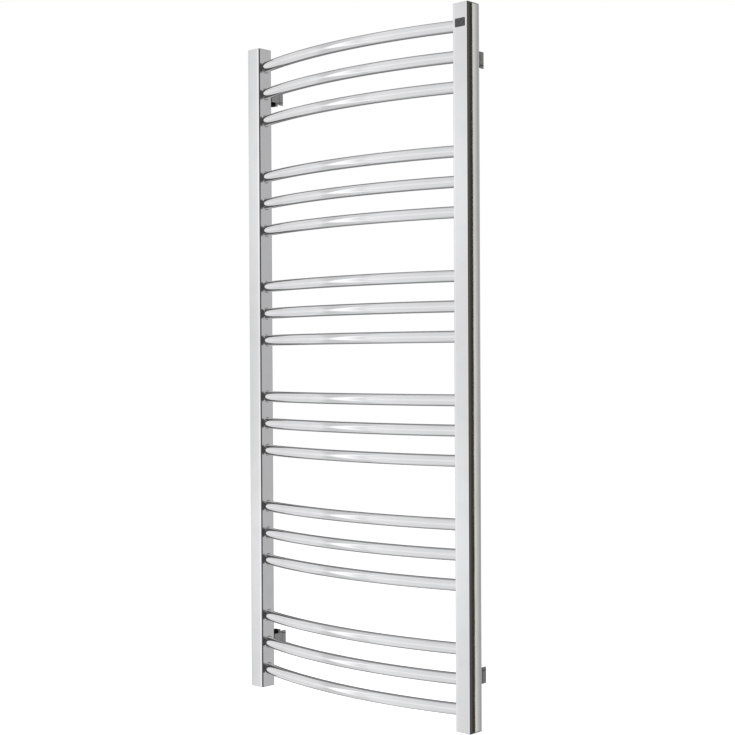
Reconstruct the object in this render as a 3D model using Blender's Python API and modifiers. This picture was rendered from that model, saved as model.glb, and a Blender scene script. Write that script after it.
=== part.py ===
"""Ladder towel radiator for hot water: two square uprights, eighteen bowed rungs, four wall brackets.

Metres, +Z up, +X to the right of someone facing the radiator, +Y into the wall. The origin lies on the
wall's surface at the centre of the four brackets."""

import math

import bmesh
import bpy
from mathutils import Matrix, Vector

# Driving dimensions
HEIGHT = 1.200  # over the end caps
CENTRES = 0.500  # between the uprights' centre lines
TUBE = 0.032  # side of an upright's square section
TUBE_WALL = 0.0015
TUBE_CORNER = 0.003  # outer corner radius of the section
RUNG_RADIUS = 0.010
RUNG_WALL = 0.0012
RUNG_BOW = 0.033  # how far a rung's middle stands forward of its ends
RUNG_PITCH = 0.0503  # inside a group of three
GROUP_PITCH = 0.2062
GROUPS = 6
RUNGS_IN_GROUP = 3
WALL_GAP = 0.030  # wall to the back of an upright
GAP = 0.0003  # between pieces that touch
CAP_PLATE = 0.002

# What follows from them
UPRIGHT_Y = -(WALL_GAP + TUBE / 2)
UPRIGHT_BACK = -WALL_GAP
FACE_X = CENTRES / 2 - TUBE / 2  # inner face of an upright
TOP_RUNG = ((GROUPS - 1) * GROUP_PITCH + (RUNGS_IN_GROUP - 1) * RUNG_PITCH) / 2
BOW_RADIUS = (FACE_X**2 + RUNG_BOW**2) / (2 * RUNG_BOW)
RUNG_END_X = FACE_X + 0.0045  # a rung runs through the tube wall and just into the water way

# Rungs
RUNG_STEPS = 8
RUNG_SIDES_RESOLUTION = 4  # twelve sides

# Bottom cap with its female port for G1/2, and the vented top cap
PORT_RADIUS = 0.0095
PORT_BOSS_RADIUS = 0.0125
PORT_DEPTH = 0.014
SPIGOT_DEPTH = 0.003
VENT_BOSS_RADIUS = 0.009
VENT_BOSS_DEPTH = 0.014
VENT_RADIUS = 0.0055  # recess that holds the vent screw
VENT_RECESS = 0.0065
VENT_SEAT_RADIUS = 0.0026
HEX_KEY = 0.004  # across flats, vent screw and clamp screws

# Brackets: the upper pair as built, the lower pair mirrored about the middle height
BRACKET_X = FACE_X + 0.0085
BRACKET_WIDTH = 0.016
SLEEVE_HEIGHT = 0.024
SLEEVE_TOP = 0.5275
SLEEVE_DEPTH = 0.0197
SLEEVE_FRONT_WALL = 0.004
SLEEVE_SIDE_WALL = 0.0015
SLEEVE_SCREW_WALL = 0.004  # the side that the clamp screw threads into
BASE_THICKNESS = 0.010
CHEEK_THICKNESS = 0.0016  # the two side cheeks that run past the plate on the clamp screw's side
CHEEK_REACH = 0.0038
STUB_WALL = 0.0015
WALL_SCREW_RADIUS = 0.00275
BOSS_RADIUS = 0.0045  # threaded bush welded into the back of an upright
BOSS_LENGTH = 0.0065
BOLT_RADIUS = 0.0025  # M5, rail bolts and clamp screws
BOLT_HEAD_RADIUS = 0.0046
BOLT_HEAD_DEPTH = 0.0025
BOLT_LENGTH = 0.0104
BOLT_KEY = 0.003  # across flats
CLAMP_HEAD_RADIUS = 0.006
CLAMP_HEAD_HEIGHT = 0.0066
CLAMP_Y = UPRIGHT_BACK + 0.0100

# Blank name plate
PLATE_WIDTH = 0.0200
PLATE_HEIGHT = 0.0140
PLATE_THICKNESS = 0.0008
PLATE_Z = 0.5670


def clear_scene():
    for old in list(bpy.data.objects):
        bpy.data.objects.remove(old, do_unlink=True)


def new_collection(name, hidden=False):
    made = bpy.data.collections.new(name)
    bpy.context.scene.collection.children.link(made)
    made.hide_render = hidden
    return made


clear_scene()
radiator = new_collection("towel_radiator")
cutters = new_collection("cutters", hidden=True)


def material(name, colour, roughness, metallic):
    made = bpy.data.materials.new(name)
    made.use_nodes = True
    shader = made.node_tree.nodes["Principled BSDF"]
    shader.inputs["Base Color"].default_value = (*colour, 1)
    shader.inputs["Roughness"].default_value = roughness
    shader.inputs["Metallic"].default_value = metallic
    return made


polished_steel = material("polished_steel", (0.86, 0.86, 0.86), 0.06, 1)
bracket_steel = material("bracket_steel", (0.52, 0.52, 0.51), 0.35, 1)
black_oxide = material("black_oxide", (0.03, 0.03, 0.03), 0.45, 0.6)
zinc_steel = material("zinc_steel", (0.62, 0.62, 0.60), 0.40, 1)
nickel_brass = material("nickel_brass", (0.72, 0.69, 0.60), 0.25, 1)
seal_rubber = material("seal_rubber", (0.04, 0.04, 0.04), 0.70, 0)
dark_enamel = material("dark_enamel", (0.05, 0.05, 0.05), 0.35, 0)


def add_object(name, data, collection=radiator):
    made = bpy.data.objects.new(name, data)
    collection.objects.link(made)
    if collection is cutters:
        made.hide_render = True
        made.display_type = "WIRE"
    return made


def shade(obj, finish):
    obj.data.materials.clear()
    obj.data.materials.append(finish)
    obj.data.shade_smooth()
    obj.data.set_sharp_from_angle(angle=math.radians(35))


def mesh_object(name, build, collection=radiator):
    """An object whose mesh build(bm) makes with bmesh operators."""
    bm = bmesh.new()
    build(bm)
    data = bpy.data.meshes.new(name)
    bm.to_mesh(data)
    bm.free()
    return add_object(name, data, collection)


def box(name, size, centre, collection=radiator):
    def build(bm):
        place = Matrix.Translation(centre) @ Matrix.Diagonal((*size, 1))
        bmesh.ops.create_cube(bm, size=1, matrix=place)

    return mesh_object(name, build, collection)


def cylinder(name, radius, start, end, collection=radiator, sides=24, end_radius=None):
    """A round or, with few sides, a prismatic bar from start to end."""
    start, end = Vector(start), Vector(end)
    turn = (end - start).to_track_quat("Z", "Y").to_matrix().to_4x4()

    def build(bm):
        bmesh.ops.create_cone(
            bm, cap_ends=True, segments=sides, radius1=radius,
            radius2=radius if end_radius is None else end_radius, depth=(end - start).length,
            matrix=Matrix.Translation((start + end) / 2) @ turn)

    return mesh_object(name, build, collection)


def boolean(obj, other, operation):
    modifier = obj.modifiers.new(operation.lower(), "BOOLEAN")
    modifier.operation = operation
    modifier.object = other
    modifier.solver = "EXACT"


def cut(obj, *tools):
    for tool in tools:
        boolean(obj, tool, "DIFFERENCE")


def join(obj, *others):
    for other in others:
        boolean(obj, other, "UNION")


def meshed(name, curve_object, collection):
    """The curve object as a mesh object with its caps welded, in the curve's place."""
    bpy.context.view_layer.update()
    evaluated = curve_object.evaluated_get(bpy.context.evaluated_depsgraph_get())
    data = bpy.data.meshes.new_from_object(evaluated)
    place = curve_object.matrix_world.copy()
    bpy.data.objects.remove(curve_object, do_unlink=True)
    bm = bmesh.new()
    bm.from_mesh(data)
    bmesh.ops.remove_doubles(bm, verts=bm.verts, dist=1e-6)
    bm.to_mesh(data)
    bm.free()
    made = add_object(name, data, collection)
    made.matrix_world = place
    return made


def rounded_square(half, corner, steps):
    """The corners of a square outline, each rounded by an arc of that many steps."""
    points = []
    for quarter in range(4):
        turn = Matrix.Rotation(quarter * math.pi / 2, 2)
        for step in range(steps + 1):
            angle = step * math.pi / 2 / steps
            arc = Vector((math.cos(angle), math.sin(angle))) * corner
            points.append(turn @ (Vector((half - corner, half - corner)) + arc))
    return points


def flat_outline(name, outlines, thickness, collection):
    """A flat plate or bar: outlines extruded to that thickness about Z = 0."""
    curve = bpy.data.curves.new(name, "CURVE")
    curve.dimensions = "2D"
    curve.fill_mode = "BOTH"
    curve.extrude = thickness / 2
    for outline in outlines:
        spline = curve.splines.new("POLY")
        spline.points.add(len(outline) - 1)
        spline.use_cyclic_u = True
        for point, place in zip(spline.points, outline):
            point.co = (*place, 0, 1)
    return meshed(name, add_object(name + "_outline", curve, collection), collection)


def turned(name, profile, place, collection=radiator, steps=20):
    """A turned piece about place's Z axis. The profile is (radius, height) pairs, top to bottom."""
    def build(bm):
        points = [bm.verts.new((radius, 0, height)) for radius, height in profile]
        for first, second in zip(points, points[1:]):
            bm.edges.new((first, second))

    made = mesh_object(name, build, collection)
    screw = made.modifiers.new("turn", "SCREW")
    screw.steps = screw.render_steps = steps
    screw.use_merge_vertices = True
    screw.merge_threshold = 0.00001
    made.matrix_world = place
    return made


# Rungs ------------------------------------------------------------------------------------


def rung_heights():
    """The rungs' heights, top rung first."""
    return [TOP_RUNG - group * GROUP_PITCH - step * RUNG_PITCH
            for group in range(GROUPS) for step in range(RUNGS_IN_GROUP)]


def rung_path(height):
    """The rung's centre line: one circular arc, bowed away from the wall."""
    half_angle = math.asin(RUNG_END_X / BOW_RADIUS)
    centre_y = UPRIGHT_Y - RUNG_BOW + BOW_RADIUS
    for step in range(RUNG_STEPS + 1):
        angle = half_angle * (2 * step / RUNG_STEPS - 1)
        yield (BOW_RADIUS * math.sin(angle), centre_y - BOW_RADIUS * math.cos(angle), height)


def tube_curve(name, radius, heights, capped):
    curve = bpy.data.curves.new(name, "CURVE")
    curve.dimensions = "3D"
    curve.bevel_depth = radius
    curve.bevel_resolution = RUNG_SIDES_RESOLUTION
    curve.use_fill_caps = capped
    for height in heights:
        path = list(rung_path(height))
        spline = curve.splines.new("POLY")
        spline.points.add(len(path) - 1)
        for point, place in zip(spline.points, path):
            point.co = (*place, 1)
    return curve


def make_rungs():
    for number, height in enumerate(rung_heights(), start=1):
        name = f"rung_{number:02d}"
        open_tube = add_object(name + "_line", tube_curve(name, RUNG_RADIUS, [height], False), radiator)
        rung = meshed(name, open_tube, radiator)
        wall = rung.modifiers.new("wall", "SOLIDIFY")
        wall.thickness = RUNG_WALL
        wall.offset = -1
        shade(rung, polished_steel)


# Uprights and their caps ------------------------------------------------------------------


def make_uprights():
    hole_curve = tube_curve("rung_holes", RUNG_RADIUS + GAP, rung_heights(), True)
    rung_holes = meshed("rung_holes", add_object("rung_holes_line", hole_curve, cutters), cutters)
    outer = rounded_square(TUBE / 2, TUBE_CORNER, 4)
    inner = rounded_square(TUBE / 2 - TUBE_WALL, TUBE_CORNER - TUBE_WALL, 2)
    length = HEIGHT - 2 * (CAP_PLATE + GAP)
    for side, name in ((-1, "upright_left"), (1, "upright_right")):
        upright = flat_outline(name, [outer, inner], length, radiator)
        upright.location = (side * CENTRES / 2, UPRIGHT_Y, 0)
        cut(upright, rung_holes)
        for up in (1, -1):
            x, z = side * BRACKET_X, up * sleeve_middle()
            bush_hole = cylinder(f"{name}_bush_hole_{up}", BOSS_RADIUS + GAP, (x, UPRIGHT_BACK - 0.004, z),
                                 (x, UPRIGHT_BACK + 0.004, z), cutters, sides=16)
            cut(upright, bush_hole)
        shade(upright, polished_steel)


def make_cap(name, side, up, boss_radius, boss_depth, bores):
    """An end cap: plate, short spigot inside the tube, boss, and (radius, far depth) bores from outside."""
    x = side * CENTRES / 2
    cap = flat_outline(name, [rounded_square(TUBE / 2, TUBE_CORNER, 4)], CAP_PLATE, radiator)
    cap.location = (x, UPRIGHT_Y, up * (HEIGHT / 2 - CAP_PLATE / 2))
    spigot_half = TUBE / 2 - TUBE_WALL - GAP
    spigot = flat_outline(name + "_spigot", [rounded_square(spigot_half, TUBE_CORNER - TUBE_WALL, 2)],
                          CAP_PLATE + SPIGOT_DEPTH, cutters)
    spigot.location = (x, UPRIGHT_Y, up * (HEIGHT / 2 - 0.0005 - (CAP_PLATE + SPIGOT_DEPTH) / 2))
    join(cap, spigot)
    outside = HEIGHT / 2

    def along(depth):
        return (x, UPRIGHT_Y, up * (outside - depth))

    if boss_radius:
        join(cap, cylinder(name + "_boss", boss_radius, along(0.001), along(boss_depth), cutters))
    for number, (radius, start, end) in enumerate(bores):
        cut(cap, cylinder(f"{name}_bore_{number}", radius, along(start), along(end), cutters))
    shade(cap, polished_steel)


def make_caps():
    make_cap("top_cap_left", -1, 1, None, 0, [])
    make_cap("top_cap_right", 1, 1, VENT_BOSS_RADIUS, VENT_BOSS_DEPTH,
             [(VENT_RADIUS, -0.002, VENT_RECESS), (VENT_SEAT_RADIUS, 0.005, VENT_BOSS_DEPTH + 0.002)])
    for side, name in ((-1, "bottom_cap_left"), (1, "bottom_cap_right")):
        make_cap(name, side, -1, PORT_BOSS_RADIUS, PORT_DEPTH, [(PORT_RADIUS, -0.002, PORT_DEPTH + 0.002)])


# Air vent ---------------------------------------------------------------------------------


def hex_key_hole(name, outside, inwards, depth):
    """A hexagon socket cutter that starts at the point outside and runs depth along inwards."""
    outside, inwards = Vector(outside), Vector(inwards)
    return cylinder(name, HEX_KEY / math.sqrt(3), outside - inwards * 0.002, outside + inwards * depth,
                    cutters, sides=6)


def make_air_vent():
    axis = Matrix.Translation((CENTRES / 2, UPRIGHT_Y, HEIGHT / 2))
    shoulder = -0.0045
    radius = VENT_RADIUS - GAP
    nose = VENT_SEAT_RADIUS - GAP
    profile = [(0, -GAP), (radius - 0.0004, -GAP), (radius, -GAP - 0.0004), (radius, shoulder),
               (nose, shoulder), (nose, -0.0105), (0, -0.0125)]
    screw = turned("vent_screw", profile, axis)
    cut(screw, hex_key_hole("vent_key_hole", axis.translation, (0, 0, -1), 0.0032))
    shade(screw, nickel_brass)

    ring_section = 0.0007
    ring_height = (shoulder - VENT_RECESS) / 2

    def build(bm):
        middle = nose + GAP + ring_section
        sections = []
        for step in range(6):
            angle = step * math.tau / 6
            sections.append(bm.verts.new((middle + ring_section * math.cos(angle), 0,
                                          ring_section * math.sin(angle))))
        for first, second in zip(sections, sections[1:] + sections[:1]):
            bm.edges.new((second, first))

    ring = mesh_object("vent_o_ring", build)
    turn = ring.modifiers.new("turn", "SCREW")
    turn.steps = turn.render_steps = 12
    turn.use_merge_vertices = True
    turn.merge_threshold = 0.00001
    ring.matrix_world = axis @ Matrix.Translation((0, 0, ring_height))
    shade(ring, seal_rubber)


# Wall brackets ----------------------------------------------------------------------------


def sleeve_middle():
    return SLEEVE_TOP - SLEEVE_HEIGHT / 2


def make_bracket(corner, side, up):
    """One telescopic bracket: wall base with stub, sleeve on the upright, bolt, bush and clamp screw."""
    x = side * BRACKET_X
    width = BRACKET_WIDTH
    sleeve_front = UPRIGHT_BACK + GAP
    sleeve_back = sleeve_front + SLEEVE_DEPTH
    socket_front = sleeve_front + SLEEVE_FRONT_WALL
    socket_low = SLEEVE_TOP - SLEEVE_HEIGHT + SLEEVE_SCREW_WALL
    socket_high = SLEEVE_TOP - SLEEVE_SIDE_WALL
    socket_size = (width - 2 * SLEEVE_SIDE_WALL, socket_high - socket_low)
    socket_z = up * (socket_low + socket_high) / 2
    bolt_z = up * sleeve_middle()

    def y_bar(name, size, low, high, z, collection=cutters):
        return box(name, (size[0], high - low, size[1]), (x, (low + high) / 2, z), collection)

    # The bush is welded into the back of the upright, flush with its face
    bush = cylinder(f"bush_{corner}", BOSS_RADIUS, (x, UPRIGHT_BACK - BOSS_LENGTH, bolt_z),
                    (x, UPRIGHT_BACK, bolt_z), sides=16)
    cut(bush, cylinder(f"bush_{corner}_thread", BOLT_RADIUS + GAP, (x, UPRIGHT_BACK - 0.02, bolt_z),
                       (x, UPRIGHT_BACK + 0.01, bolt_z), cutters, sides=16))
    shade(bush, zinc_steel)

    # Sleeve with its socket for the stub, countersunk bolt hole and clamp screw thread
    sleeve = y_bar(f"sleeve_{corner}", (width, SLEEVE_HEIGHT), sleeve_front, sleeve_back, bolt_z, radiator)
    edge = sleeve.modifiers.new("edge", "BEVEL")
    edge.width = 0.0008
    edge.segments = 1
    cut(sleeve, y_bar(f"sleeve_{corner}_socket", socket_size, socket_front, sleeve_back + 0.01, socket_z))
    cut(sleeve, cylinder(f"sleeve_{corner}_bolt_hole", BOLT_RADIUS + GAP, (x, sleeve_front - 0.01, bolt_z),
                         (x, socket_front + 0.001, bolt_z), cutters, sides=16))
    cut(sleeve, cylinder(f"sleeve_{corner}_countersink", BOLT_RADIUS + GAP,
                         (x, socket_front - BOLT_HEAD_DEPTH - GAP, bolt_z),
                         (x, socket_front + 0.0005, bolt_z), cutters, sides=16,
                         end_radius=BOLT_HEAD_RADIUS + 0.0008))
    clamp_out = up * (SLEEVE_TOP - SLEEVE_HEIGHT)
    cut(sleeve, cylinder(f"sleeve_{corner}_clamp_thread", BOLT_RADIUS + GAP,
                         (x, CLAMP_Y, clamp_out - up * 0.005), (x, CLAMP_Y, clamp_out + up * 0.008),
                         cutters, sides=16))
    shade(sleeve, bracket_steel)

    # Countersunk bolt that holds the sleeve to the bush
    bolt_head = socket_front - 0.0002
    toward_rail = Matrix.Translation((x, bolt_head, bolt_z)) @ Matrix.Rotation(-math.pi / 2, 4, "X")
    profile = [(0, 0), (BOLT_HEAD_RADIUS, 0), (BOLT_HEAD_RADIUS, -0.0003), (BOLT_RADIUS, -BOLT_HEAD_DEPTH),
               (BOLT_RADIUS, -BOLT_LENGTH + 0.0006), (BOLT_RADIUS - 0.0006, -BOLT_LENGTH), (0, -BOLT_LENGTH)]
    bolt = turned(f"rail_bolt_{corner}", profile, toward_rail, steps=16)
    cut(bolt, cylinder(f"rail_bolt_{corner}_key", BOLT_KEY / math.sqrt(3), (x, bolt_head + 0.002, bolt_z),
                       (x, bolt_head - 0.002, bolt_z), cutters, sides=6))
    shade(bolt, zinc_steel)

    # Wall base: a block with two side cheeks, and the hollow stub that the sleeve slides on
    cheek_end = SLEEVE_TOP - SLEEVE_HEIGHT - CHEEK_REACH
    base = y_bar(f"wall_base_{corner}", (width, SLEEVE_TOP - cheek_end), -BASE_THICKNESS, 0,
                 up * (SLEEVE_TOP + cheek_end) / 2, radiator)
    cut(base, y_bar(f"wall_base_{corner}_between_cheeks", (width - 2 * CHEEK_THICKNESS, 2 * CHEEK_REACH),
                    -BASE_THICKNESS - 0.01, 0.01, up * cheek_end))
    stub_size = (socket_size[0] - 2 * GAP, socket_size[1] - 2 * GAP)
    stub_front = socket_front + 0.0006
    join(base, y_bar(f"wall_base_{corner}_stub", stub_size, stub_front, -BASE_THICKNESS / 2, socket_z))
    hollow = (stub_size[0] - 2 * STUB_WALL, stub_size[1] - 2 * STUB_WALL)
    cut(base, y_bar(f"wall_base_{corner}_hollow", hollow, stub_front - 0.005, -0.006, socket_z))
    cut(base, cylinder(f"wall_base_{corner}_screw_hole", WALL_SCREW_RADIUS, (x, -0.02, socket_z),
                       (x, 0.01, socket_z), cutters, sides=16))
    shade(base, bracket_steel)

    # Clamp screw: its tip stops just short of the stub, its head stands clear below the sleeve
    tip = socket_low - 0.0001
    head_top = SLEEVE_TOP - SLEEVE_HEIGHT - GAP
    flip = Matrix.Rotation(math.pi, 4, "X") if up > 0 else Matrix.Identity(4)
    head_end = head_top - CLAMP_HEAD_HEIGHT
    radius = CLAMP_HEAD_RADIUS
    outside = Matrix.Translation((x, CLAMP_Y, up * head_end)) @ flip
    screw = turned(f"clamp_screw_{corner}",
                   [(0, 0), (radius - 0.0008, 0), (radius, -0.0008), (radius, -CLAMP_HEAD_HEIGHT),
                    (BOLT_RADIUS, -CLAMP_HEAD_HEIGHT), (BOLT_RADIUS, head_end - tip), (0, head_end - tip)],
                   outside)
    cut(screw, hex_key_hole(f"clamp_screw_{corner}_key", (x, CLAMP_Y, up * head_end), (0, 0, up), 0.0036))
    shade(screw, black_oxide)


def make_brackets():
    for side, side_name in ((-1, "left"), (1, "right")):
        for up, up_name in ((1, "top"), (-1, "bottom")):
            make_bracket(f"{up_name}_{side_name}", side, up)


# Name plate -------------------------------------------------------------------------------


def make_name_plate():
    front = UPRIGHT_Y - TUBE / 2
    plate = box("name_plate", (PLATE_WIDTH, PLATE_THICKNESS, PLATE_HEIGHT),
                (CENTRES / 2, front - GAP - PLATE_THICKNESS / 2, PLATE_Z))
    edge = plate.modifiers.new("edge", "BEVEL")
    edge.width = 0.0003
    edge.segments = 1
    shade(plate, dark_enamel)


def parent_to_rail():
    """Everything but the wall bases moves with the rail when it slides off the wall stubs."""
    rail = bpy.data.objects.new("rail", None)
    radiator.objects.link(rail)
    for piece in list(radiator.objects):
        if piece is not rail and not piece.name.startswith("wall_base"):
            piece.parent = rail


make_rungs()
make_uprights()
make_caps()
make_air_vent()
make_brackets()
make_name_plate()
parent_to_rail()
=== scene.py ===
import math

import bmesh
import bpy
from mathutils import Matrix, Vector


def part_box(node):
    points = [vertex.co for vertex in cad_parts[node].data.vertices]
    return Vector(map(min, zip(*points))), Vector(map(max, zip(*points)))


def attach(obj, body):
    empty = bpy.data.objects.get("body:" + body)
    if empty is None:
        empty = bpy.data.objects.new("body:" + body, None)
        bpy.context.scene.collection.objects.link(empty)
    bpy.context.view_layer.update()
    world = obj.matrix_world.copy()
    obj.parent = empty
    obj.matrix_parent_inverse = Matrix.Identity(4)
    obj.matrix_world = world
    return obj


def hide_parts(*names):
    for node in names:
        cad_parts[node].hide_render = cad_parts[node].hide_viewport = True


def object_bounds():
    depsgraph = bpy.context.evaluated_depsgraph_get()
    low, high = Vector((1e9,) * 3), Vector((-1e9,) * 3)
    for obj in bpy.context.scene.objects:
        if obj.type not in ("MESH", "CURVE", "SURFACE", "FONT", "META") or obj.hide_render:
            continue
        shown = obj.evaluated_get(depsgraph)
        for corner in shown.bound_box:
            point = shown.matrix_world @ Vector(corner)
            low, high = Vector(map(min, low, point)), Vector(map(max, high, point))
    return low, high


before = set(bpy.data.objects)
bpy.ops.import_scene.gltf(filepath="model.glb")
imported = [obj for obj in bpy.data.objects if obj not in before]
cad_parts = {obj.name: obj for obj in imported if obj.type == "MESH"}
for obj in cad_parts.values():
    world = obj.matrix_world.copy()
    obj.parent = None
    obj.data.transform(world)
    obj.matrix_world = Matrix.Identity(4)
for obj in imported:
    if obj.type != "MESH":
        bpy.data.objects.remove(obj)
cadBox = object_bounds()
print("frame loaded:", len(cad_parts), "nodes")
sharpAngle = math.radians(50)  # edges sharper than this stay crisp in the shading


class Flow:  # one node socket, so that node maths reads as an expression
    def __init__(self, graph, socket):
        self.graph, self.socket = graph, socket

    def math(self, operation, *others):
        values = dict(enumerate((self, *others)))
        return self.graph.add("ShaderNodeMath", {"operation": operation}, values)

    def part(self, name):  # another output of the same node
        return Flow(self.graph, self.socket.node.outputs[name])

    def __add__(self, other):
        return self.math("ADD", other)

    def __sub__(self, other):
        return self.math("SUBTRACT", other)

    def __rsub__(self, other):
        return self.graph.add("ShaderNodeMath", {"operation": "SUBTRACT"}, {0: other, 1: self})

    def __mul__(self, other):
        return self.math("MULTIPLY", other)

    def __truediv__(self, other):
        return self.math("DIVIDE", other)

    def __rtruediv__(self, other):
        return self.graph.add("ShaderNodeMath", {"operation": "DIVIDE"}, {0: other, 1: self})

    __radd__ = __add__
    __rmul__ = __mul__


class Graph:
    def __init__(self, tree):
        self.tree = tree
        tree.nodes.clear()

    def add(self, kind, settings=None, values=None, out=0):
        node = self.tree.nodes.new(kind)
        for name, value in (settings or {}).items():
            if name == "stops":
                self.setStops(node.color_ramp, value)
            else:
                setattr(node, name, value)
        for key, value in (values or {}).items():
            if isinstance(value, Flow):
                self.tree.links.new(value.socket, node.inputs[key])
            else:
                node.inputs[key].default_value = value
        return Flow(self, node.outputs[out]) if node.outputs else node

    def setStops(self, ramp, stops):
        while len(ramp.elements) > 1:
            ramp.elements.remove(ramp.elements[-1])
        for number, (position, colour) in enumerate(stops):
            element = ramp.elements[0] if number == 0 else ramp.elements.new(position)
            element.position = position
            element.color = (*colour, 1)

    def blend(self, factor, first, second):  # between two colours
        return self.add("ShaderNodeMix", {"data_type": "RGBA"}, {0: factor, 6: first, 7: second}, out=2)

    def smooth(self, value, start, end, low=0.0, high=1.0):
        return self.add("ShaderNodeMapRange", {"interpolation_type": "SMOOTHSTEP"},
                        {"Value": value, "From Min": start, "From Max": end, "To Min": low, "To Max": high})

    def noise(self, where, stretch, scale, detail=2.0):
        spread = self.add("ShaderNodeMapping", {}, {"Vector": where, "Scale": stretch})
        return self.add("ShaderNodeTexNoise", {}, {"Vector": spread, "Scale": scale, "Detail": detail})


def finish(name, recipe):
    look = bpy.data.materials.new(name)
    look.use_nodes = True
    graph = Graph(look.node_tree)
    shader = graph.add("ShaderNodeBsdfPrincipled", {}, recipe(graph))
    graph.add("ShaderNodeOutputMaterial", {}, {"Surface": shader})
    return look


chrome = {
    "bright": (0.90, 0.905, 0.915, 1), "dull": (0.865, 0.87, 0.88, 1),
    "roughLow": 0.014, "roughHigh": 0.032,
    "lineScale": 2400.0,  # polishing lines, a few tenths of a millimetre apart
    "smudgeScale": 28.0,
    "waveScale": 22.0, "waveDepth": 0.000012,
    "worn": (0.45, 0.75),  # where smudges begin to dull it, and where they do so fully
    "lineShare": 0.6, "smudgeShare": 0.4, "roughSpan": (0.35, 0.7),
}


def chromeRecipe(stretch, followsTube):
    def recipe(graph):
        if followsTube:
            where = graph.add("ShaderNodeAttribute", {"attribute_name": "grain"}, out="Vector")
        else:
            where = graph.add("ShaderNodeTexCoord", out="Object")
        lines = graph.noise(where, stretch, chrome["lineScale"])
        smudges = graph.noise(where, (1, 1, 1), chrome["smudgeScale"], 4.0)
        waves = graph.noise(where, (1, 1, 1), chrome["waveScale"], 1.0)
        worn = graph.smooth(smudges, *chrome["worn"])
        mixed = lines * chrome["lineShare"] + smudges * chrome["smudgeShare"]
        rough = graph.smooth(mixed, *chrome["roughSpan"], chrome["roughLow"], chrome["roughHigh"])
        bump = graph.add("ShaderNodeBump", {}, {"Strength": 1.0, "Distance": chrome["waveDepth"],
                                                "Height": waves})
        return {"Base Color": graph.blend(worn, chrome["bright"], chrome["dull"]),
                "Metallic": 1.0, "Roughness": rough, "Normal": bump}
    return recipe


metal = {"patchScale": 260.0, "grainScale": 1560.0, "grainStrength": 0.6,
         "patchShare": 0.7, "grainShare": 0.3, "dullSpan": (0.38, 0.66), "roughSpan": (0.3, 0.7)}


def metalRecipe(bright, dull, rough, grainDepth, stretch=(1, 1, 1), metallic=1.0):
    def recipe(graph):
        where = graph.add("ShaderNodeTexCoord", out="Object")
        grain = graph.noise(where, stretch, metal["grainScale"], 3.0)
        patches = graph.noise(where, (1, 1, 1), metal["patchScale"], 4.0)
        mask = graph.smooth(patches * metal["patchShare"] + grain * metal["grainShare"], *metal["dullSpan"])
        bump = graph.add("ShaderNodeBump", {}, {"Strength": metal["grainStrength"],
                                                "Distance": grainDepth, "Height": grain})
        return {"Base Color": graph.blend(mask, bright, dull), "Metallic": metallic,
                "Roughness": graph.smooth(patches, *metal["roughSpan"], *rough), "Normal": bump}
    return recipe


looks = {
    "rungChrome": finish("rungChrome", chromeRecipe((0.02, 1, 1), True)),
    "postChrome": finish("postChrome", chromeRecipe((1, 1, 0.02), False)),
    "capChrome": finish("capChrome", chromeRecipe((0.05, 1, 1), False)),
    "weldChrome": finish("weldChrome", metalRecipe((0.86, 0.865, 0.87, 1), (0.74, 0.74, 0.74, 1),
                                                   (0.08, 0.16), 0.00002)),
    "bracketSteel": finish("bracketSteel", metalRecipe((0.50, 0.50, 0.49, 1), (0.44, 0.44, 0.43, 1),
                                                       (0.26, 0.36), 0.00002, stretch=(1, 0.2, 1))),
    "blackOxide": finish("blackOxide", metalRecipe((0.018, 0.018, 0.018, 1), (0.045, 0.043, 0.040, 1),
                                                   (0.34, 0.52), 0.00004, metallic=0.6)),
    "zincSteel": finish("zincSteel", metalRecipe((0.62, 0.62, 0.60, 1), (0.52, 0.53, 0.50, 1),
                                                 (0.30, 0.45), 0.00003)),
    "nickelBrass": finish("nickelBrass", metalRecipe((0.74, 0.70, 0.58, 1), (0.60, 0.56, 0.45, 1),
                                                     (0.18, 0.32), 0.00002)),
    "sealRubber": finish("sealRubber", metalRecipe((0.030, 0.030, 0.030, 1), (0.055, 0.055, 0.053, 1),
                                                   (0.62, 0.80), 0.00005, metallic=0.0)),
    "darkEnamel": finish("darkEnamel", metalRecipe((0.030, 0.031, 0.033, 1), (0.050, 0.051, 0.053, 1),
                                                   (0.22, 0.34), 0.00003, metallic=0.0)),
}
print("finishes made:", len(looks))


def addPiece(name, shells):  # each shell is rows of points, joined into a tube or a closed ring
    made = bpy.data.meshes.new(name)
    bm = bmesh.new()
    for loops, ring in shells:
        rows = [[bm.verts.new(point) for point in loop] for loop in loops]
        pairs = list(zip(rows, rows[1:] + rows[:1] if ring else rows[1:]))
        for first, second in pairs:
            for step in range(len(first)):
                after = (step + 1) % len(first)
                bm.faces.new((first[step], first[after], second[after], second[step]))
        if not ring:
            bm.faces.new(rows[0])
            bm.faces.new(rows[-1])
    bmesh.ops.recalc_face_normals(bm, faces=bm.faces)
    bm.to_mesh(made)
    bm.free()
    made.shade_smooth()
    made.set_sharp_from_angle(angle=sharpAngle)
    piece = bpy.data.objects.new(name, made)
    bpy.context.scene.collection.objects.link(piece)
    return piece


def bake(piece):  # the modifiers' result becomes a plain mesh
    bpy.context.view_layer.update()
    graph = bpy.context.evaluated_depsgraph_get()
    result = bpy.data.meshes.new_from_object(piece.evaluated_get(graph), preserve_all_data_layers=True,
                                             depsgraph=graph)
    piece.modifiers.clear()
    piece.data = result
    piece.data.name = piece.name


def evenShading(piece):  # large flat faces stay flat beside their rounded edges
    even = piece.modifiers.new("evenShading", "WEIGHTED_NORMAL")
    even.keep_sharp = True
    even.weight = 100
    bake(piece)


def settle(piece, look, body, slotName, *nodes):
    if look:
        piece.data.materials.clear()
        piece.data.materials.append(looks[look])
    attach(piece, body)
    if nodes:
        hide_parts(*nodes)


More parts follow.
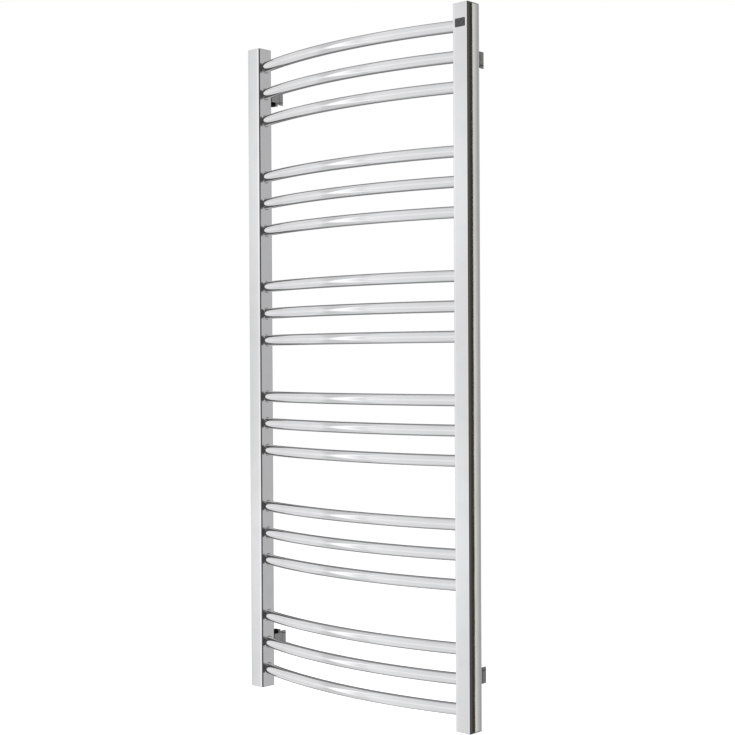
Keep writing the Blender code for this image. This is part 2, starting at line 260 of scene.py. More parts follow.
def roundedRect(halfA, halfB, corner, steps=6, sideSteps=1):  # a flat outline, anticlockwise
    points = []
    for quarter in range(4):
        turn = quarter * math.pi / 2
        signA, signB = ((1, 1), (-1, 1), (-1, -1), (1, -1))[quarter]
        for step in range(steps + 1):
            angle = turn + step * math.pi / 2 / steps
            points.append((signA * (halfA - corner) + corner * math.cos(angle),
                           signB * (halfB - corner) + corner * math.sin(angle)))
        nextA, nextB = ((-halfA + corner, halfB), (-halfA, -halfB + corner), (halfA - corner, -halfB),
                        (halfA, halfB - corner))[quarter]
        lastA, lastB = points[-1]
        for step in range(1, sideSteps):  # extra points on the straight side that follows
            share = step / sideSteps
            points.append((lastA + (nextA - lastA) * share, lastB + (nextB - lastB) * share))
    return points


def circleLike(outline, radius):  # a circle whose points lie at the outline's angles
    return [(radius * math.cos(math.atan2(b, a)), radius * math.sin(math.atan2(b, a))) for a, b in outline]


def circle(radius, steps):
    return [(radius * math.cos(step * math.tau / steps), radius * math.sin(step * math.tau / steps))
            for step in range(steps)]


def hexagon(acrossFlats, steps):  # steps is a multiple of 12, so that its corners are kept
    points = []
    for step in range(steps):
        angle = step * math.tau / steps
        reach = acrossFlats / 2 / math.cos((angle + math.pi / 6) % (math.pi / 3) - math.pi / 6)
        points.append((reach * math.cos(angle), reach * math.sin(angle)))
    return points


def roundOver(radius, steps=4):  # (inset, rise) pairs from the flat face to the side of a rounded edge
    for step in range(steps + 1):
        angle = step * math.pi / 2 / steps
        yield radius * (1 - math.sin(angle)), radius * math.cos(angle)


def flatAt(outline, x, y, z, normal="Z"):  # an outline placed at a height, or upright at a depth
    if normal == "Z":
        return [Vector((x + a, y + b, z)) for a, b in outline]
    return [Vector((x + a, y, z + b)) for a, b in outline]


def newTree(name, inputs):
    tree = bpy.data.node_groups.new(name, "GeometryNodeTree")
    graph = Graph(tree)
    tree.interface.new_socket("Geometry", in_out="OUTPUT", socket_type="NodeSocketGeometry")
    for socketName, kind in inputs.items():
        tree.interface.new_socket(socketName, in_out="INPUT", socket_type="NodeSocket" + kind)
    given = graph.add("NodeGroupInput")
    return graph, given.part


def closeTree(graph, geometry, material):  # every tree ends with real geometry and its finish
    real = graph.add("GeometryNodeRealizeInstances", {}, {"Geometry": geometry})
    painted = graph.add("GeometryNodeSetMaterial", {}, {"Geometry": real, "Material": material})
    graph.add("NodeGroupOutput", {}, {0: painted})
    return graph.tree


def runTree(piece, tree, values):
    modifier = piece.modifiers.new(tree.name, "NODES")
    modifier.node_group = tree
    for item in tree.interface.items_tree:
        if item.in_out == "INPUT" and item.name in values:
            modifier[item.identifier] = values[item.name]


def bowedTubeTree():
    graph, given = newTree("bowedTube", {
        "Radius": "Float", "Bow": "Float", "Half Span": "Float", "Reach": "Float", "Line Y": "Float",
        "Steps": "Int", "Sides": "Int", "Finish": "Material"})
    bow, half = given("Bow"), given("Half Span")
    bend = (half * half + bow * bow) / (bow * 2)
    line = graph.add("GeometryNodeCurvePrimitiveLine", {}, {"Start": (-1, 0, 0), "End": (1, 0, 0)})
    line = graph.add("GeometryNodeResampleCurve", {}, {"Curve": line, "Count": given("Steps")})
    place = graph.add("GeometryNodeInputPosition")
    share = graph.add("ShaderNodeSeparateXYZ", {}, {0: place})
    angle = share * (given("Reach") / bend).math("ARCSINE")
    bent = graph.add("ShaderNodeCombineXYZ", {}, {
        0: bend * angle.math("SINE"), 1: given("Line Y") - bow + bend - bend * angle.math("COSINE")})
    stored = graph.add("GeometryNodeStoreNamedAttribute", {"data_type": "FLOAT", "domain": "POINT"},
                       {"Geometry": line, "Name": "along", "Value": bend * angle})
    path = graph.add("GeometryNodeSetPosition", {}, {"Geometry": stored, "Position": bent})
    ring = graph.add("GeometryNodeCurvePrimitiveCircle", {}, {"Resolution": given("Sides"),
                                                              "Radius": given("Radius")})
    ring = graph.add("GeometryNodeStoreNamedAttribute", {"data_type": "FLOAT_VECTOR", "domain": "POINT"},
                     {"Geometry": ring, "Name": "across", "Value": graph.add("GeometryNodeInputPosition")})
    tube = graph.add("GeometryNodeCurveToMesh", {}, {"Curve": path, "Profile Curve": ring})
    along = graph.add("GeometryNodeInputNamedAttribute", {"data_type": "FLOAT"}, {"Name": "along"})
    across = graph.add("GeometryNodeInputNamedAttribute", {"data_type": "FLOAT_VECTOR"}, {"Name": "across"})
    sides = graph.add("ShaderNodeSeparateXYZ", {}, {0: across})
    grain = graph.add("ShaderNodeCombineXYZ", {}, {0: along, 1: sides, 2: sides.part("Y")})
    tube = graph.add("GeometryNodeStoreNamedAttribute", {"data_type": "FLOAT_VECTOR", "domain": "POINT"},
                     {"Geometry": tube, "Name": "grain", "Value": grain})
    return closeTree(graph, tube, given("Finish"))


def ladderTree():  # one copy of the geometry at each rung's height
    graph, given = newTree("ladder", {
        "Geometry": "Geometry", "Top": "Float", "Pitch": "Float", "Group Pitch": "Float",
        "In Group": "Float", "Count": "Int", "Finish": "Material"})
    index = graph.add("GeometryNodeInputIndex")
    group = (index / given("In Group")).math("FLOOR")
    step = index - group * given("In Group")
    height = given("Top") - group * given("Group Pitch") - step * given("Pitch")
    place = graph.add("ShaderNodeCombineXYZ", {}, {2: height})
    points = graph.add("GeometryNodePoints", {}, {"Count": given("Count"), "Position": place})
    copies = graph.add("GeometryNodeInstanceOnPoints", {}, {"Points": points,
                                                            "Instance": given("Geometry")})
    return closeTree(graph, copies, given("Finish"))


def knurlTree():  # straight ribs round a screw head, which is the geometry that comes in
    graph, given = newTree("knurl", {
        "Geometry": "Geometry", "Radius": "Float", "Rib": "Float", "Length": "Float", "Height": "Float",
        "Count": "Int", "Finish": "Material"})
    rib = graph.add("GeometryNodeMeshCylinder", {}, {"Vertices": 4, "Radius": given("Rib"),
                                                     "Depth": given("Length")})
    ring = graph.add("GeometryNodeMeshCircle", {}, {"Vertices": given("Count"), "Radius": given("Radius")})
    turn = graph.add("GeometryNodeInputIndex") * (math.tau / given("Count"))
    turned = graph.add("ShaderNodeCombineXYZ", {}, {2: turn})
    ribs = graph.add("GeometryNodeInstanceOnPoints", {}, {"Points": ring, "Instance": rib,
                                                          "Rotation": turned})
    lift = graph.add("ShaderNodeCombineXYZ", {}, {2: given("Height")})
    ribs = graph.add("GeometryNodeTranslateInstances", {}, {"Instances": ribs, "Translation": lift,
                                                            "Local Space": False})
    both = graph.tree.nodes.new("GeometryNodeJoinGeometry")
    for part in (ribs, given("Geometry")):
        graph.tree.links.new(part.socket, both.inputs[0])
    return closeTree(graph, Flow(graph, both.outputs[0]), given("Finish"))


def threadTree():  # an inner pipe thread: one ridge that winds up the bore
    graph, given = newTree("portThread", {
        "Geometry": "Geometry", "Radius": "Float", "Pitch": "Float", "Turns": "Float", "Ridge": "Float",
        "Finish": "Material"})
    helix = graph.add("GeometryNodeCurveSpiral", {}, {
        "Resolution": 48, "Rotations": given("Turns"), "Start Radius": given("Radius"),
        "End Radius": given("Radius"), "Height": given("Turns") * given("Pitch")})
    ridge = graph.add("GeometryNodeCurvePrimitiveCircle", {}, {"Resolution": 4, "Radius": given("Ridge")})
    wound = graph.add("GeometryNodeCurveToMesh", {}, {"Curve": helix, "Profile Curve": ridge,
                                                      "Fill Caps": True})
    return closeTree(graph, wound, given("Finish"))


posts = {side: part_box("upright_" + side) for side in ("left", "right")}
rungBoxes = [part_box(f"rung_{number:02d}") for number in (1, 2, 4)]
rungHeights = [(low.z + high.z) / 2 for low, high in rungBoxes]
postY = (posts["left"][0].y + posts["left"][1].y) / 2
rungs = {
    "radius": (rungBoxes[0][1].z - rungBoxes[0][0].z) / 2,
    "wall": 0.0012,
    "faceX": posts["right"][0].x,
    "reach": posts["right"][0].x + 0.0045,  # it runs through the tube's wall
    "steps": 49, "sides": 32,
    "count": 18, "inGroup": 3,
    "top": rungHeights[0],
    "pitch": rungHeights[0] - rungHeights[1],
    "groupPitch": rungHeights[0] - rungHeights[2],
}
rungs["bow"] = postY - rungs["radius"] - rungBoxes[0][0].y
rungNodes = [f"rung_{number:02d}" for number in range(1, rungs["count"] + 1)]
ladder = ladderTree()
ladderValues = {"Top": rungs["top"], "Pitch": rungs["pitch"], "Group Pitch": rungs["groupPitch"],
                "In Group": float(rungs["inGroup"]), "Count": rungs["count"]}


def makeRungs():
    piece = addPiece("rungs", [])
    runTree(piece, bowedTubeTree(), {
        "Radius": rungs["radius"], "Bow": rungs["bow"], "Half Span": rungs["faceX"],
        "Reach": rungs["reach"], "Line Y": postY, "Steps": rungs["steps"], "Sides": rungs["sides"],
        "Finish": looks["rungChrome"]})
    runTree(piece, ladder, {**ladderValues, "Finish": looks["rungChrome"]})
    wall = piece.modifiers.new("wall", "SOLIDIFY")
    wall.thickness = rungs["wall"]
    wall.offset = -1
    bake(piece)
    piece.data.shade_smooth()
    piece.data.set_sharp_from_angle(angle=sharpAngle)
    settle(piece, None, "rail", "polished_steel", *rungNodes)


weld = {"leg": 0.0017, "around": 48, "curve": 5, "sink": 0.0004}


def weldLoops(side):  # a hollow fillet round the joint of a rung and an upright
    bend = (rungs["faceX"] ** 2 + rungs["bow"] ** 2) / (2 * rungs["bow"])
    lean = math.asin(rungs["faceX"] / bend)
    joint = Vector((-rungs["faceX"], postY, 0))
    along = Vector((math.cos(lean), -math.sin(lean), 0))
    across = Vector((math.sin(lean), math.cos(lean), 0))
    up = Vector((0, 0, 1))
    loops = [[] for _ in range(weld["curve"] + 4)]  # the curve with both ends, and two points under it
    for step in range(weld["around"]):
        angle = step * math.tau / weld["around"]
        spoke = math.cos(angle) * across + math.sin(angle) * up
        onTube = joint + rungs["radius"] * spoke
        corner = onTube - along * ((onTube.x - joint.x) / along.x)
        outward = (corner - joint).normalized()
        onFace = corner + outward * weld["leg"]
        onRung = corner + along * (weld["leg"] / along.x)
        line = []
        for number in range(weld["curve"] + 2):
            share = number / (weld["curve"] + 1)
            line.append(onFace * (1 - share) ** 2 + corner * (2 * share * (1 - share))
                        + onRung * share ** 2)
        line += [onRung - spoke * weld["sink"], onFace - Vector((weld["sink"], 0, 0))]
        for loop, point in zip(loops, line):
            loop.append(Vector((point.x * -side, point.y, point.z)))
    return loops


def makeWelds():
    piece = addPiece("rung_welds", [(weldLoops(-1), True), (weldLoops(1), True)])
    runTree(piece, ladder, {**ladderValues, "Finish": looks["weldChrome"]})
    bake(piece)
    settle(piece, None, "rail", "polished_steel")


makeRungs()
makeWelds()
print("rungs and welds made")


post = {"corner": 0.003, "wall": 0.0015, "cornerSteps": 8, "sideSteps": 8, "capPlate": 0.002,
        "capEdge": 0.0008, "seam": 0.00012}
port = {"bore": 0.0103, "bossRadius": 0.0125, "depth": 0.014, "mouth": 0.0007,
        "pitch": 0.001814, "turns": 6.4, "ridge": 0.00095}
vent = {"bore": 0.0055, "bossRadius": 0.009, "recess": 0.0065, "depth": 0.014, "seat": 0.0026,
        "mouth": 0.0004}


def postOutline(inset):
    half = (posts["right"][1].x - posts["right"][0].x) / 2
    return roundedRect(half - inset, half - inset, post["corner"] - inset, post["cornerSteps"],
                       post["sideSteps"])


def makePost(side):
    low, high = posts[side]
    x = (low.x + high.x) / 2
    top = cadBox[1].z - post["capPlate"]
    outer, chamfered, inner = postOutline(0), postOutline(post["seam"]), postOutline(post["wall"])
    loops = [flatAt(chamfered, x, postY, -top), flatAt(outer, x, postY, -top + post["seam"]),
             flatAt(outer, x, postY, top - post["seam"]), flatAt(chamfered, x, postY, top),
             flatAt(inner, x, postY, top), flatAt(inner, x, postY, -top)]
    piece = addPiece("post_" + side, [(loops, True)])
    evenShading(piece)
    settle(piece, "postChrome", "rail", "polished_steel", "upright_" + side)


def capLoops(x, up, bore=None):
    outside = cadBox[1].z
    inside = outside - post["capPlate"]

    def at(outline, height):
        return flatAt(outline, x, postY, up * height)

    loops = [at(postOutline(post["seam"]), inside), at(postOutline(0), inside + post["seam"])]
    edge = [at(postOutline(inset), outside - post["capEdge"] + rise)
            for inset, rise in roundOver(post["capEdge"])]
    loops += reversed(edge)
    if not bore:
        return [(loops, False)]
    base = postOutline(0)
    mouth = bore["mouth"]
    loops += [at(circleLike(base, bore["bore"] + mouth), outside),
              at(circleLike(base, bore["bore"]), outside - mouth)]
    if "seat" in bore:
        loops += [at(circleLike(base, bore["bore"]), outside - bore["recess"]),
                  at(circleLike(base, bore["seat"]), outside - bore["recess"]),
                  at(circleLike(base, bore["seat"]), outside - bore["depth"])]
    else:
        loops += [at(circleLike(base, bore["bore"]), outside - bore["depth"])]
    loops += [at(circleLike(base, bore["bossRadius"]), outside - bore["depth"]),
              at(circleLike(base, bore["bossRadius"]), inside)]
    return [(loops, True)]


def makeCap(name, side, up, bore=None):
    x = (posts[side][0].x + posts[side][1].x) / 2
    piece = addPiece("cap_" + name, capLoops(x, up, bore))
    evenShading(piece)
    settle(piece, "capChrome", "rail", "polished_steel", name)


def makePortThread(side):
    x = (posts[side][0].x + posts[side][1].x) / 2
    piece = addPiece("port_thread_" + side, [])
    runTree(piece, threadTree(), {
        "Radius": port["bore"], "Pitch": port["pitch"], "Turns": port["turns"], "Ridge": port["ridge"],
        "Finish": looks["zincSteel"]})
    bake(piece)
    piece.data.transform(Matrix.Translation((x, postY, cadBox[0].z + 2 * port["mouth"])))
    settle(piece, None, "rail", "polished_steel")


for side in ("left", "right"):
    makePost(side)
    makeCap("bottom_cap_" + side, side, -1, port)
    makePortThread(side)
makeCap("top_cap_left", "left", 1)
makeCap("top_cap_right", "right", 1, vent)
print("uprights and caps made")


bleed = {"steps": 48, "key": 0.004, "keyDepth": 0.0032, "edge": 0.0004, "noseGap": 0.0003,
         "tipShare": 0.25, "tipLength": 0.002, "overRing": 0.0004}
hexMouth = {"flare": 0.0004, "depth": 0.0002}  # the small countersink of a hex socket


def turnedLoops(profile, steps, place):  # profile is (outline maker or radius, height) pairs
    return [[place @ Vector((a, b, height)) for a, b in
             (hexagon(size[1], steps) if isinstance(size, tuple) else circle(size, steps))]
            for size, height in profile]


def hexSocket(mouth, into, key, depth):  # profile rows, with into as 1 for up and -1 for down
    return [(("hexagon", key + hexMouth["flare"]), mouth),
            (("hexagon", key), mouth + into * hexMouth["depth"]), (("hexagon", key), mouth + into * depth)]


def makeBleedScrew():
    low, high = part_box("vent_screw")
    top, radius, nose = high.z, (high.x - low.x) / 2, vent["seat"] - bleed["noseGap"]
    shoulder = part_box("vent_o_ring")[1].z + bleed["overRing"]
    profile = [(nose * bleed["tipShare"], low.z), (nose, low.z + bleed["tipLength"]), (nose, shoulder),
               (radius, shoulder), (radius, top - bleed["edge"]), (radius - bleed["edge"], top),
               *hexSocket(top, -1, bleed["key"], bleed["keyDepth"])]
    place = Matrix.Translation(((low.x + high.x) / 2, (low.y + high.y) / 2, 0))
    piece = addPiece("bleed_screw", [(turnedLoops(profile, bleed["steps"], place), False)])
    evenShading(piece)
    settle(piece, "nickelBrass", "vent_needle", "nickel_brass", "vent_screw")


makeBleedScrew()


bracket = {"edge": 0.0005, "innerEdge": 0.0004, "sideWall": 0.0015, "screwWall": 0.004,
           "frontWall": 0.004, "plate": 0.010, "stubWall": 0.0015, "gap": 0.0003, "screwHole": 0.00275,
           "lip": 0.0003, "leastCorner": 0.0002, "stubCorner": 0.0008, "stubRoot": 0.0005,
           "cheek": 0.0016, "cheekEdge": 0.0004, "cheekRoot": 0.002}
clamp = {"core": 0.00572, "rib": 0.00030, "ribs": 44, "edge": 0.0007, "shank": 0.0025,
         "key": 0.004, "keyDepth": 0.0036, "steps": 48, "tip": 0.0004, "shoulder": 0.0003,
         "bevel": 0.3, "ribTrim": 1.6, "ribLift": 0.5}  # the last three are shares of edge
knurl = knurlTree()


def makeSleeve(corner, up):
    low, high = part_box("sleeve_" + corner)
    x, z = (low.x + high.x) / 2, (low.z + high.z) / 2
    halfX, halfZ = (high.x - low.x) / 2, (high.z - low.z) / 2
    edge, lip = bracket["edge"], bracket["lip"]

    def outer(inset, y):
        corners = edge - inset + bracket["leastCorner"]
        return flatAt(roundedRect(halfX - inset, halfZ - inset, corners), x, y, z, "Y")

    socketHalfZ = halfZ - (bracket["sideWall"] + bracket["screwWall"]) / 2
    socketZ = z + up * (bracket["screwWall"] - bracket["sideWall"]) / 2

    def socket(grow, y):
        return flatAt(roundedRect(halfX - bracket["sideWall"] + grow, socketHalfZ + grow,
                                  bracket["innerEdge"]), x, y, socketZ, "Y")

    loops = [outer(inset, low.y + edge - rise) for inset, rise in roundOver(edge)]
    loops += reversed([outer(inset, high.y - edge + rise) for inset, rise in roundOver(edge)])
    loops += [socket(lip, high.y), socket(0, high.y - lip), socket(0, low.y + bracket["frontWall"])]
    piece = addPiece("bracket_sleeve_" + corner, [(loops, False)])
    evenShading(piece)
    settle(piece, "bracketSteel", "rail", "bracket_steel", "sleeve_" + corner)


def makeBase(corner, up):
    low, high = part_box("wall_base_" + corner)
    sleeveLow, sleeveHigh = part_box("sleeve_" + corner)
    x, z = (low.x + high.x) / 2, (sleeveLow.z + sleeveHigh.z) / 2
    halfX, halfZ = (high.x - low.x) / 2, (sleeveHigh.z - sleeveLow.z) / 2
    socketZ = z + up * (bracket["screwWall"] - bracket["sideWall"]) / 2
    stubHalfX = halfX - bracket["sideWall"] - bracket["gap"]
    stubHalfZ = halfZ - (bracket["sideWall"] + bracket["screwWall"]) / 2 - bracket["gap"]
    face, edge, lip = -bracket["plate"], bracket["edge"], bracket["lip"]

    def plateOutline(inset):
        return roundedRect(halfX - inset, halfZ - inset, edge - inset + bracket["leastCorner"],
                           sideSteps=6)

    def outline(inset, y):
        return flatAt(plateOutline(inset), x, y, z, "Y")

    def hole(y):
        ring = circleLike([(a, b + z - socketZ) for a, b in plateOutline(0)], bracket["screwHole"])
        return flatAt(ring, x, y, socketZ, "Y")

    plate = [outline(inset, face + edge - rise) for inset, rise in roundOver(edge)]
    plate += [outline(0, -lip), outline(lip, 0), hole(0), hole(face)]
    wall, stubRoot = bracket["stubWall"], face + bracket["stubRoot"]

    def stub(inset, y):
        section = roundedRect(stubHalfX - inset, stubHalfZ - inset, bracket["stubCorner"])
        return flatAt(section, x, y, socketZ, "Y")

    tube = [stub(0, stubRoot), stub(0, low.y + lip), stub(lip, low.y), stub(wall - lip, low.y),
            stub(wall, low.y + lip), stub(wall, stubRoot)]

    end = low.z if up > 0 else high.z  # the two cheeks reach past the block
    root = z - up * (halfZ - bracket["cheekRoot"])
    cheekEdge, cheekHalf = bracket["cheekEdge"], bracket["cheek"] / 2
    cheeks = []
    for side in (-1, 1):
        cheekX = x + side * (halfX - cheekHalf)

        def cheek(inset, height):
            section = roundedRect(cheekHalf - inset, bracket["plate"] / 2 - inset,
                                  cheekEdge - inset + bracket["leastCorner"])
            return flatAt(section, cheekX, face / 2, height)

        rows = [cheek(inset, end + up * (cheekEdge - rise)) for inset, rise in roundOver(cheekEdge)]
        cheeks.append((rows + [cheek(0, root)], False))
    piece = addPiece("bracket_base_" + corner, [(plate, True), (tube, True), *cheeks])
    evenShading(piece)
    settle(piece, "bracketSteel", "wall", "bracket_steel", "wall_base_" + corner)


def makeClampScrew(corner, up):
    low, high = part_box("clamp_screw_" + corner)
    sleeveLow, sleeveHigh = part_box("sleeve_" + corner)
    length = high.z - low.z
    headHeight = (sleeveLow.z - low.z if up > 0 else high.z - sleeveHigh.z) - bracket["gap"]
    core, edge, steps = clamp["core"], clamp["edge"], clamp["steps"]
    shank, tip, shoulder, bevel = clamp["shank"], clamp["tip"], clamp["shoulder"], edge * clamp["bevel"]
    profile = [(shank - tip, length), (shank, length - tip), (shank, headHeight),
               (core - shoulder, headHeight), (core, headHeight - shoulder), (core, edge),
               (core - bevel, bevel), (core - edge, 0), *hexSocket(0, 1, clamp["key"], clamp["keyDepth"])]
    piece = addPiece("clamp_" + corner, [(turnedLoops(profile, steps, Matrix.Identity(4)), False)])
    runTree(piece, knurl, {
        "Radius": core, "Rib": clamp["rib"], "Length": headHeight - clamp["ribTrim"] * edge,
        "Height": (headHeight + clamp["ribLift"] * edge) / 2, "Count": clamp["ribs"],
        "Finish": looks["blackOxide"]})
    evenShading(piece)
    axis = Vector(((low.x + high.x) / 2, (low.y + high.y) / 2, low.z if up > 0 else high.z))
    flip = Matrix.Identity(4) if up > 0 else Matrix.Rotation(math.pi, 4, "X")
    piece.data.transform(Matrix.Translation(axis) @ flip)
    settle(piece, None, "clamp_" + corner, "black_oxide", "clamp_screw_" + corner)


def repaint(name, look):  # a CAD piece that keeps its own mesh
    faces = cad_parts[name].data
    faces.materials.clear()
    faces.materials.append(looks[look])


for side in ("left", "right"):
    for end, up in (("top", 1), ("bottom", -1)):
        corner = f"{end}_{side}"
        makeSleeve(corner, up)
        makeBase(corner, up)
        makeClampScrew(corner, up)
        repaint("bush_" + corner, "zincSteel")
        repaint("rail_bolt_" + corner, "zincSteel")
repaint("vent_o_ring", "sealRubber")
print("brackets made")


blankPlate = {"edge": 0.0003, "corner": 0.0012, "sink": 0.0003}  # sink closes the gap behind it


def makeBlankPlate():
    low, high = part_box("name_plate")
    x, z = (low.x + high.x) / 2, (low.z + high.z) / 2
    edge = blankPlate["edge"]

    def outline(inset, y):
        return flatAt(roundedRect((high.x - low.x) / 2 - inset, (high.z - low.z) / 2 - inset,
                                  blankPlate["corner"] - inset), x, y, z, "Y")

    loops = [outline(inset, low.y + edge - rise) for inset, rise in roundOver(edge)]
    loops += [outline(0, high.y + blankPlate["sink"])]
    piece = addPiece("blank_plate", [(loops, False)])
    evenShading(piece)
    settle(piece, "darkEnamel", "rail", "dark_enamel", "name_plate")


makeBlankPlate()
print("bleed screw and plate made")


view = {"place": (1.7056, -1.8512, 0.0141), "yaw": 42.958, "pitch": -0.5205, "roll": -0.2834,
        "lens": 68.707, "sensor": 36.0, "shiftY": 0.00774}


def addCamera():
    yaw, pitch, roll = (math.radians(view[name]) for name in ("yaw", "pitch", "roll"))
    forward = Vector((-math.sin(yaw) * math.cos(pitch), math.cos(yaw) * math.cos(pitch), math.sin(pitch)))
    right = forward.cross(Vector((0, 0, 1))).normalized()
    up = right.cross(forward)
    rolledRight = math.cos(roll) * right + math.sin(roll) * up
    rolledUp = math.cos(roll) * up - math.sin(roll) * right
    lens = bpy.data.cameras.new("camera")
    lens.lens, lens.sensor_width, lens.shift_y = view["lens"], view["sensor"], view["shiftY"]
    camera = bpy.data.objects.new("camera", lens)
    bpy.context.scene.collection.objects.link(camera)
    turn = Matrix((rolledRight, rolledUp, -forward)).transposed().to_4x4()
    camera.matrix_world = Matrix.Translation(view["place"]) @ turn
    bpy.context.scene.camera = camera


room = {  # directions run from -1 to 1, x to the right, y to the back and z up
    "sweep": ((0.0, 0.79), (0.08, 0.79), (0.16, 0.84), (0.222, 0.86), (0.255, 0.70), (0.285, 0.70),
              (0.36, 0.755), (0.40, 0.755), (0.44, 0.89), (0.52, 0.88), (0.62, 0.84),
              (1.0, 0.82)),  # the lit wall in front, by x + 1
    "frontBands": 0.105, "bandHeight": 0.125, "bandWidth": 0.105,  # two wide soft bands, high and low
    "frontFall": 0.08, "fallHeight": (0.20, 0.32),
    "panelScale": 9.0, "panelDepth": 0.035, "panelSpan": (0.3, 0.7),
    "side": 0.07, "lit": (0.27, 0.13),  # the unlit right-hand side, and where the lit wall begins
    "behindLeft": 0.20, "behindRight": 0.48, "behindSpan": (0.1, 0.6), "ahead": (0.42, 0.10),
    "darkCorner": 0.80,  # share of light missing far to the left
    "cornerSpan": (-0.74, -0.90), "cornerHeight": (0.60, 0.40),
    "overhead": 0.62, "overheadHeight": (0.80, 0.97),
}


def addWorld():
    world = bpy.data.worlds.new("studio")
    bpy.context.scene.world = world
    world.use_nodes = True
    graph = Graph(world.node_tree)
    way = graph.add("ShaderNodeTexCoord", out="Generated")
    x = graph.add("ShaderNodeSeparateXYZ", {}, {0: way})
    y, z = x.part("Y"), x.part("Z")
    steep = z.math("ABSOLUTE")
    lit = graph.smooth(x, *room["lit"])
    ahead = graph.smooth(y, *room["ahead"])
    farLeft = graph.smooth(x, *room["cornerSpan"]) * graph.smooth(steep, *room["cornerHeight"])
    behindLeft = room["behindLeft"] * (1 - room["darkCorner"] * farLeft)
    rightness = graph.smooth(x, *room["behindSpan"])
    behind = behindLeft + (room["behindRight"] - behindLeft) * rightness
    sweep = [(place, (tone,) * 3) for place, tone in room["sweep"]]
    aside = graph.add("ShaderNodeValToRGB", {"stops": sweep}, {0: x + 1.0})
    grainOfRoom = graph.add("ShaderNodeCombineXYZ", {}, {2: z})  # level panels, brighter and dimmer
    panels = graph.noise(grainOfRoom, (1, 1, 1), room["panelScale"], 3.0)
    panels = graph.smooth(panels, *room["panelSpan"], -room["panelDepth"], room["panelDepth"])
    band = graph.smooth((steep - room["bandHeight"]).math("ABSOLUTE"), room["bandWidth"], 0.0)
    fall = graph.smooth(steep, *room["fallHeight"])
    openFront = aside * (1.0 + room["frontBands"] * band - room["frontFall"] * fall + panels * fall)
    front = room["side"] + (openFront - room["side"]) * lit
    level = behind + (front - behind) * ahead
    high = graph.smooth(steep, *room["overheadHeight"])
    tone = level + (room["overhead"] - level) * high
    seen = graph.add("ShaderNodeLightPath", out="Is Camera Ray")
    strength = tone + (1.0 - tone) * seen
    light = graph.add("ShaderNodeBackground", {}, {"Color": (1, 1, 1, 1), "Strength": strength})
    graph.add("ShaderNodeOutputWorld", {}, {"Surface": light})


def emissionLook(name, recipe, seeThrough=False):
    look = bpy.data.materials.new(name)
    look.use_nodes = True
    graph = Graph(look.node_tree)
    where = graph.add("ShaderNodeTexCoord", out="Object")
    colour = recipe(graph, graph.add("ShaderNodeSeparateXYZ", {}, {0: where}))
    light = graph.add("ShaderNodeEmission", {}, {"Color": colour, "Strength": 1.0})
    if seeThrough:  # its light is added to what lies behind it
        light = graph.add("ShaderNodeAddShader", {}, {0: light, 1: graph.add("ShaderNodeBsdfTransparent")})
    graph.add("ShaderNodeOutputMaterial", {}, {"Surface": light})
    return look


def addCard(name, centre, facing, width, height, look):  # a reflection card that only reflections show
    data = bpy.data.meshes.new(name)
    bm = bmesh.new()
    bmesh.ops.create_grid(bm, size=0.5, matrix=Matrix.Diagonal((width, height, 1, 1)))
    bm.to_mesh(data)
    bm.free()
    card = bpy.data.objects.new(name, data)
    bpy.context.scene.collection.objects.link(card)
    across = Vector((0, 0, 1)).cross(facing).normalized()
    turn = Matrix((across, Vector((0, 0, 1)), facing)).transposed().to_4x4()
    card.matrix_world = Matrix.Translation(centre) @ turn
    data.materials.append(look)
    card.visible_camera = card.visible_diffuse = card.visible_shadow = card.visible_transmission = False


edgeCard = {
    "distance": 0.50, "faceY": -0.0494, "wide": 0.35, "lightWide": 0.016, "height": 4.0,
    "dark": ((0, (0.029, 0.025, 0.0145)), (0.014, (0.048, 0.042, 0.028)),
             (0.028, (0.066, 0.059, 0.044)), (0.3, (0.10, 0.095, 0.085))),
    "fade": ((0, (0.20, 0.20, 0.19)), (0.25, (0.28, 0.28, 0.27)), (0.38, (0.39, 0.39, 0.38)),
             (0.52, (0.48, 0.48, 0.47)), (0.66, (0.53, 0.53, 0.51)), (0.79, (0.65, 0.65, 0.62)),
             (1, (0.65, 0.65, 0.60))),
}
strip = {"centre": (-2.878, -3.145, 0.0), "width": 1.20, "height": 7.0, "peak": 0.3, "gain": 0.42,
         "endSpan": (1.0, 0.55)}


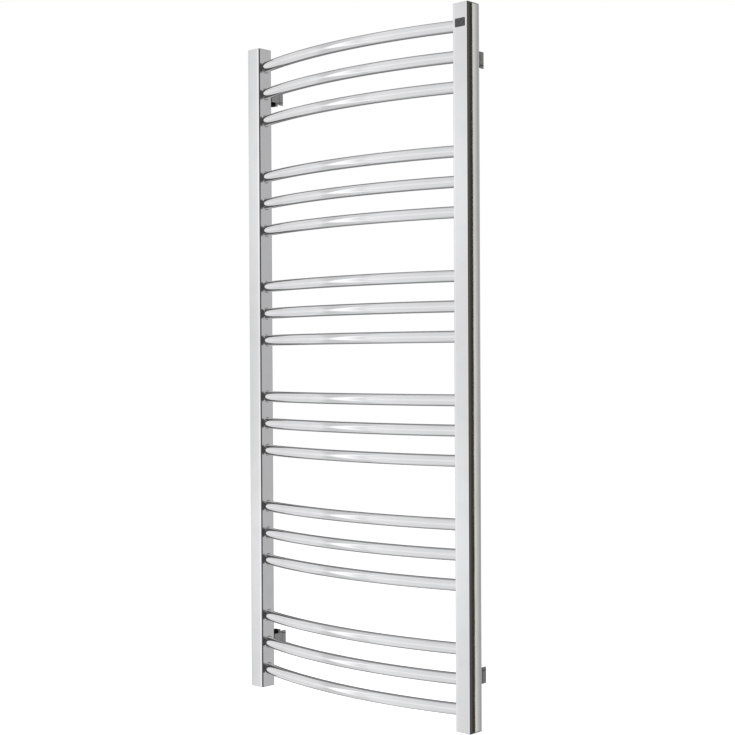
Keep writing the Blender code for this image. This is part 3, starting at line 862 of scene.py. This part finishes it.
def addCards():
    # The dark card stands at the right. Its reflection ends part of the way across the right upright's
    # outer face, and a narrow card that fades outwards stands beside its edge.
    corner = Vector((posts["right"][1].x, edgeCard["faceY"], 0))
    sight = corner - Vector((view["place"][0], view["place"][1], 0))
    along = Vector((-sight.x, sight.y, 0)).normalized()
    across = Vector((along.y, -along.x, 0))
    edge = corner + along * edgeCard["distance"]

    wide, narrow, height = edgeCard["wide"], edgeCard["lightWide"], edgeCard["height"]

    def rampRecipe(stops, width):  # from the card's left edge to its right
        return lambda graph, x: graph.add("ShaderNodeValToRGB", {"stops": stops}, {0: x / width + 0.5})

    addCard("darkCard", edge + across * wide / 2, -along, wide, height,
            emissionLook("darkCard", rampRecipe(edgeCard["dark"], wide)))
    addCard("fadeCard", edge - across * narrow / 2, -along, narrow, height,
            emissionLook("fadeCard", rampRecipe(edgeCard["fade"], narrow)))

    def stripRecipe(graph, x):  # soft all round, brightest off its middle
        side = x / (strip["width"] / 2)
        rise = x.part("Y").math("ABSOLUTE") / (strip["height"] / 2)
        ends = graph.smooth(rise, *strip["endSpan"])
        hump = graph.smooth(side, 1.0, strip["peak"]) * graph.smooth(side, -1.0, strip["peak"])
        level = strip["gain"] * hump * ends
        return graph.add("ShaderNodeCombineColor", {}, {0: level, 1: level, 2: level})

    centre = Vector(strip["centre"])
    facing = Vector((-centre.x, -centre.y, 0)).normalized()
    addCard("stripCard", centre, facing, strip["width"], strip["height"],
            emissionLook("stripCard", stripRecipe, seeThrough=True))


ground = {"half": 9.0, "height": -0.95, "colour": (0.93, 0.93, 0.93, 1), "roughness": 0.9, "glow": 0.62}
lamps = {"key": ((-2.2, -2.4, 1.8), 2.0, 60), "top": ((0.4, -0.6, 2.8), 2.2, 40)}  # place, size, power


def addFloor():
    data = bpy.data.meshes.new("floor")
    bm = bmesh.new()
    bmesh.ops.create_grid(bm, x_segments=1, y_segments=1, size=ground["half"],
                          matrix=Matrix.Translation((0, 0, ground["height"])))
    bm.to_mesh(data)
    bm.free()
    floor = bpy.data.objects.new("floor", data)
    bpy.context.scene.collection.objects.link(floor)
    pale = bpy.data.materials.new("paleFloor")
    pale.use_nodes = True
    graph = Graph(pale.node_tree)
    shader = graph.add("ShaderNodeBsdfPrincipled", {}, {
        "Base Color": ground["colour"], "Roughness": ground["roughness"],
        "Emission Color": (1, 1, 1, 1), "Emission Strength": ground["glow"]})
    graph.add("ShaderNodeOutputMaterial", {}, {"Surface": shader})
    data.materials.append(pale)
    floor.visible_glossy = False


def addLight(name, place, size, power):
    data = bpy.data.lights.new(name, "AREA")
    data.shape, data.size, data.size_y, data.energy = "RECTANGLE", size, size, power
    light = bpy.data.objects.new(name, data)
    bpy.context.scene.collection.objects.link(light)
    light.location = place
    light.rotation_euler = (-Vector(place)).to_track_quat("-Z", "Y").to_euler()
    light.visible_glossy = light.visible_camera = False


addCamera()
addWorld()
addCards()
addFloor()
for lamp, (place, size, power) in lamps.items():
    addLight(lamp, place, size, power)
bpy.context.scene.view_settings.view_transform = "Standard"
bpy.context.scene.view_settings.look = "None"
print("studio made")
